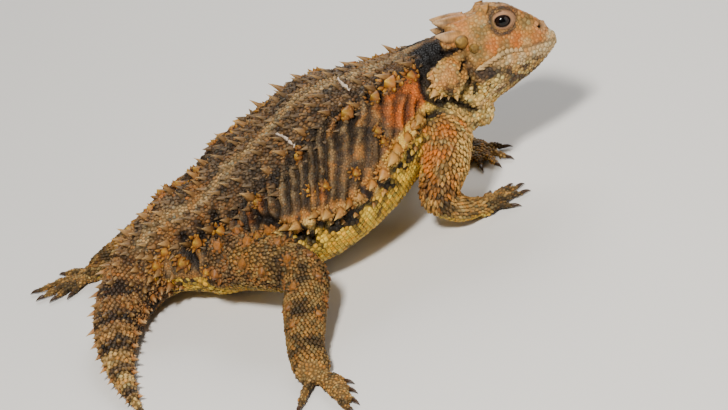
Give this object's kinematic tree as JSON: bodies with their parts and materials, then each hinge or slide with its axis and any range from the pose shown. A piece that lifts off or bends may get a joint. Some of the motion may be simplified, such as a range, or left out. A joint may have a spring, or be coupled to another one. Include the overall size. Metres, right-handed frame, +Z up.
{
  "type": "horned lizard",
  "caption": "Still life-size model of a short-tailed horned lizard, chest propped on bent forelegs, head cocked, one hind leg thrown out and the tail curled round",
  "frame": {"origin": "on the floor, under the middle of the model's box", "axes": "+X along the trunk towards the head, +Y to the animal's left, +Z up"},
  "size_m": [0.1192, 0.1016, 0.0371],
  "materials": {
    "back_skin": "dry scaly skin, grey-brown with dark blotches, rust folds and tan thorns",
    "head_skin": "small plates, peach-tan with orange-red cheeks and cream lips",
    "limb_skin": "keeled scales, orange-brown to tan-yellow with dark bands",
    "tail_skin": "keeled scales, banded orange-tan and dark grey with pale side spines",
    "horn": "dull horn, pinkish tan with paler tips",
    "eye": "wet, dark brown with a black pupil"
  },
  "bodies": {
    "root": {"eye_left": "eye", "eye_right": "eye", "foot_hind_left": "limb_skin", "foot_hind_right": "limb_skin", "forearm_front_left": "limb_skin", "forearm_front_right": "limb_skin", "hand_front_left": "limb_skin", "hand_front_right": "limb_skin", "head": "head_skin", "horn_occipital_left": "horn", "horn_occipital_right": "horn", "horn_temporal_1_left": "horn", "horn_temporal_1_right": "horn", "horn_temporal_2_left": "horn", "horn_temporal_2_right": "horn", "horn_temporal_3_left": "horn", "horn_temporal_3_right": "horn", "neck": "back_skin", "shank_hind_left": "limb_skin", "shank_hind_right": "limb_skin", "tail_base": "tail_skin", "tail_middle": "tail_skin", "tail_tip": "tail_skin", "thigh_hind_left": "limb_skin", "thigh_hind_right": "limb_skin", "torso": "back_skin", "upper_arm_front_left": "limb_skin", "upper_arm_front_right": "limb_skin"}
  },
  "joints": []
}
